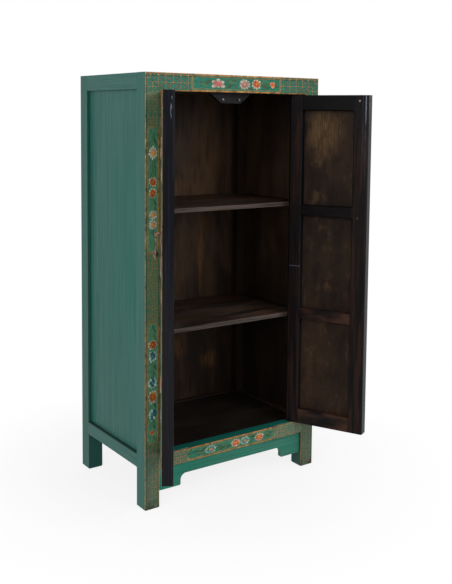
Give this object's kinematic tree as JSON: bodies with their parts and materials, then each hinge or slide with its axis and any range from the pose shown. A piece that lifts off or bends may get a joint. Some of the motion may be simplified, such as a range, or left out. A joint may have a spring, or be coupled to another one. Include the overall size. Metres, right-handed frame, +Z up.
{
  "type": "cabinet",
  "caption": "tall painted wood cabinet on square legs, framed panel sides, shelves, framed panel doors turning on wooden pivots, brass plates with drop pulls, cut apron under the sill",
  "frame": {"origin": "on the floor under the middle of the body, doors left out", "axes": "+Z up, the doors open towards -Y, +X to the right as seen from the front"},
  "size_m": [0.7135, 0.5919, 1.2],
  "materials": {
    "painted_front": "blue-green lacquer with painted ochre lattice and flowers, worn satin",
    "side_lacquer": "blue-green lacquer, worn and slightly glossy",
    "door_lacquer": "painted outside, black brown stained wood inside, half gloss",
    "dark_interior": "dark stained, dusty",
    "old_brass": "aged, half bright",
    "catch_steel": "dull"
  },
  "bodies": {
    "carcass": {"front_left_post": "painted_front", "front_right_post": "painted_front", "back_left_post": "side_lacquer", "back_right_post": "side_lacquer", "lintel": "painted_front", "sill": "painted_front", "back_top_rail": "side_lacquer", "back_bottom_rail": "side_lacquer", "left_top_rail": "side_lacquer", "right_top_rail": "side_lacquer", "left_bottom_rail": "side_lacquer", "right_bottom_rail": "side_lacquer", "left_side_panel": "side_lacquer", "right_side_panel": "side_lacquer", "back_panel": "side_lacquer", "top_board": "side_lacquer", "floor_board": "dark_interior", "upper_shelf": "dark_interior", "lower_shelf": "dark_interior", "upper_left_bearer": "dark_interior", "upper_right_bearer": "dark_interior", "lower_left_bearer": "dark_interior", "lower_right_bearer": "dark_interior", "apron": "side_lacquer", "stop_block": "dark_interior", "catch_magnets": "catch_steel", "left_pivot_keeper": "painted_front", "right_pivot_keeper": "painted_front"},
    "left_door": {"left_hinge_stile": "door_lacquer", "left_meeting_stile": "door_lacquer", "left_door_top_rail": "door_lacquer", "left_door_bottom_rail": "door_lacquer", "left_upper_mid_rail": "door_lacquer", "left_lower_mid_rail": "door_lacquer", "left_upper_panel": "door_lacquer", "left_middle_panel": "door_lacquer", "left_lower_panel": "door_lacquer", "left_catch_disc": "catch_steel", "left_brass_plate": "old_brass", "left_plate_nails": "old_brass", "left_pull_post": "old_brass"},
    "left_pull_swing": {"left_pull": "old_brass"},
    "right_door": {"right_hinge_stile": "door_lacquer", "right_meeting_stile": "door_lacquer", "right_door_top_rail": "door_lacquer", "right_door_bottom_rail": "door_lacquer", "right_upper_mid_rail": "door_lacquer", "right_lower_mid_rail": "door_lacquer", "right_upper_panel": "door_lacquer", "right_middle_panel": "door_lacquer", "right_lower_panel": "door_lacquer", "right_catch_disc": "catch_steel", "right_brass_plate": "old_brass", "right_plate_nails": "old_brass", "right_pull_post": "old_brass"},
    "right_pull_swing": {"right_pull": "old_brass"}
  },
  "joints": [
    {"name": "left_door_hinge", "type": "hinge", "parent": "carcass", "child": "left_door", "pos_m": [-0.231, -0.183, 0], "axis": [0, 0, -1], "range_deg": [-119.5, 0.5]},
    {"name": "right_door_hinge", "type": "hinge", "parent": "carcass", "child": "right_door", "pos_m": [0.231, -0.183, 0], "axis": [0, 0, 1], "range_deg": [-116, 4]},
    {"name": "left_pull_hinge", "type": "hinge", "parent": "left_door", "child": "left_pull_swing", "pos_m": [-0.35533, -0.34589, 0.793], "axis": [0.4924, 0.8704, 0], "range_deg": [-7, 90]},
    {"name": "right_pull_hinge", "type": "hinge", "parent": "right_door", "child": "right_pull_swing", "pos_m": [0.34516, -0.35318, 0.793], "axis": [0.4384, -0.8988, 0], "range_deg": [-7, 90]}
  ]
}
